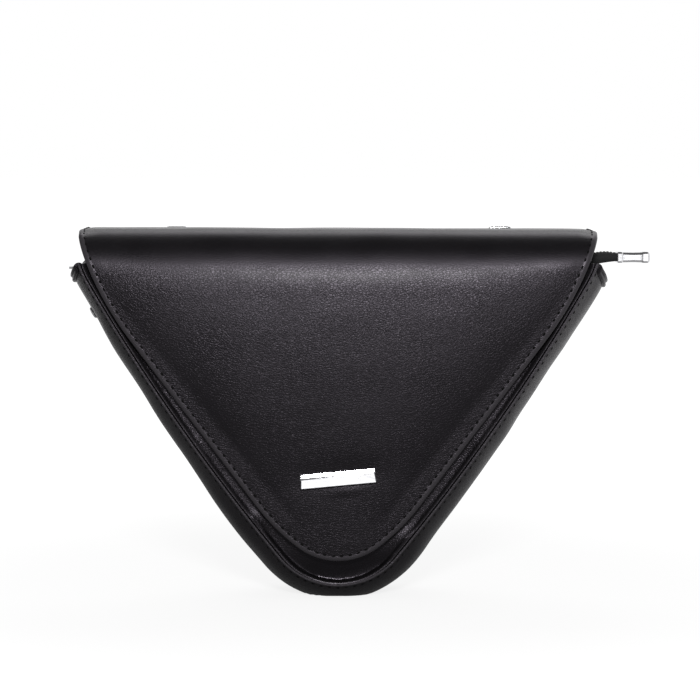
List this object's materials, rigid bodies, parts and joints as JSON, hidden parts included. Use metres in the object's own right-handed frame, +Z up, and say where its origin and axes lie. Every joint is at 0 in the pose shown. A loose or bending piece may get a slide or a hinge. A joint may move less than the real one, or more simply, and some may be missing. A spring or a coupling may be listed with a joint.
{
  "type": "shoulder bag",
  "caption": "Triangular shoulder bag with a wide flap that turns down over the front, a zip mouth, a narrow flat foot and strap rings at the back corners.",
  "frame": {"origin": "centre of the flat foot, on the surface that the bag stands on", "axes": "+X to the right, +Y from the front to the back, +Z up"},
  "size_m": [0.3057, 0.0635, 0.1938],
  "materials": {
    "leather": "smooth satin black faux leather with a fine grain",
    "lining": "black woven lining",
    "board": "stiffening board, hidden",
    "zip_tape": "black woven zip tape",
    "metal": "nickel-plated fittings",
    "polished_metal": "polished silver-coloured metal"
  },
  "bodies": {
    "bag": {"front_panel": "leather", "back_panel": "leather", "gusset": "leather", "front_board": "board", "back_board": "board", "front_lining": "lining", "back_lining": "lining", "gusset_lining": "lining", "collar_lining": "lining", "front_facing": "leather", "back_facing": "leather", "left_binding": "leather", "right_binding": "leather", "zip_end_tapes": "zip_tape", "zip_end_teeth": "metal", "zip_top_stops": "metal", "zip_bottom_stop": "metal", "zip_neck": "zip_tape", "snap_socket": "metal", "snap_socket_washer": "metal", "gusset_rivets": "metal", "gusset_rivet_washers": "metal", "left_tab": "leather", "right_tab": "leather", "tab_rivets": "metal", "tab_rivet_washers": "metal"},
    "flap_top": {"flap_top_leather": "leather", "flap_top_lining": "lining"},
    "flap": {"flap_leather": "leather", "flap_board": "board", "flap_lining": "lining", "snap_stud": "metal", "snap_stud_washer": "metal", "bar_plate": "polished_metal", "bar_backing": "metal"},
    "slider": {"zip_slider": "polished_metal"},
    "pull": {"zip_pull": "polished_metal"},
    "tail": {"zip_tail_tape": "zip_tape", "zip_tail_cap": "polished_metal"},
    "front_tape": {"front_zip_tape": "zip_tape", "front_zip_teeth": "metal"},
    "back_tape": {"back_zip_tape": "zip_tape", "back_zip_teeth": "metal"},
    "left_ring": {"left_ring": "metal"},
    "right_ring": {"right_ring": "metal"}
  },
  "joints": [
    {"name": "flap_hinge", "type": "hinge", "parent": "bag", "child": "flap_top", "pos_m": [0, 0.012, 0.192], "axis": [-1, 0, 0], "range_deg": [0, 160]},
    {"name": "flap_fold", "type": "hinge", "parent": "flap_top", "child": "flap", "pos_m": [0, -0.0233, 0.1861], "axis": [-1, 0, 0], "range_deg": [0, 75]},
    {"name": "zip_slide", "type": "slide", "parent": "bag", "child": "slider", "axis": [1, 0, 0], "range_m": [0, 0.2302]},
    {"name": "zip_pull_turn", "type": "hinge", "parent": "slider", "child": "pull", "pos_m": [-0.117, 0, 0.1734], "axis": [0, 1, 0], "range_deg": [0, 35]},
    {"name": "zip_tail_bend", "type": "hinge", "parent": "bag", "child": "tail", "pos_m": [0.1326, 0, 0.17442], "axis": [0, -1, 0], "range_deg": [-15, 30]},
    {"name": "front_tape_fold", "type": "hinge", "parent": "bag", "child": "front_tape", "pos_m": [0, -0.0156, 0.1688], "axis": [-1, 0, 0], "range_deg": [0, 75]},
    {"name": "back_tape_fold", "type": "hinge", "parent": "bag", "child": "back_tape", "pos_m": [0, 0.0156, 0.1688], "axis": [1, 0, 0], "range_deg": [0, 75]},
    {"name": "left_ring_swing", "type": "hinge", "parent": "bag", "child": "left_ring", "pos_m": [-0.0868, 0.02715, 0.183], "axis": [-1, 0, 0], "range_deg": [0, 150]},
    {"name": "right_ring_swing", "type": "hinge", "parent": "bag", "child": "right_ring", "pos_m": [0.0868, 0.02715, 0.183], "axis": [-1, 0, 0], "range_deg": [0, 150]}
  ]
}
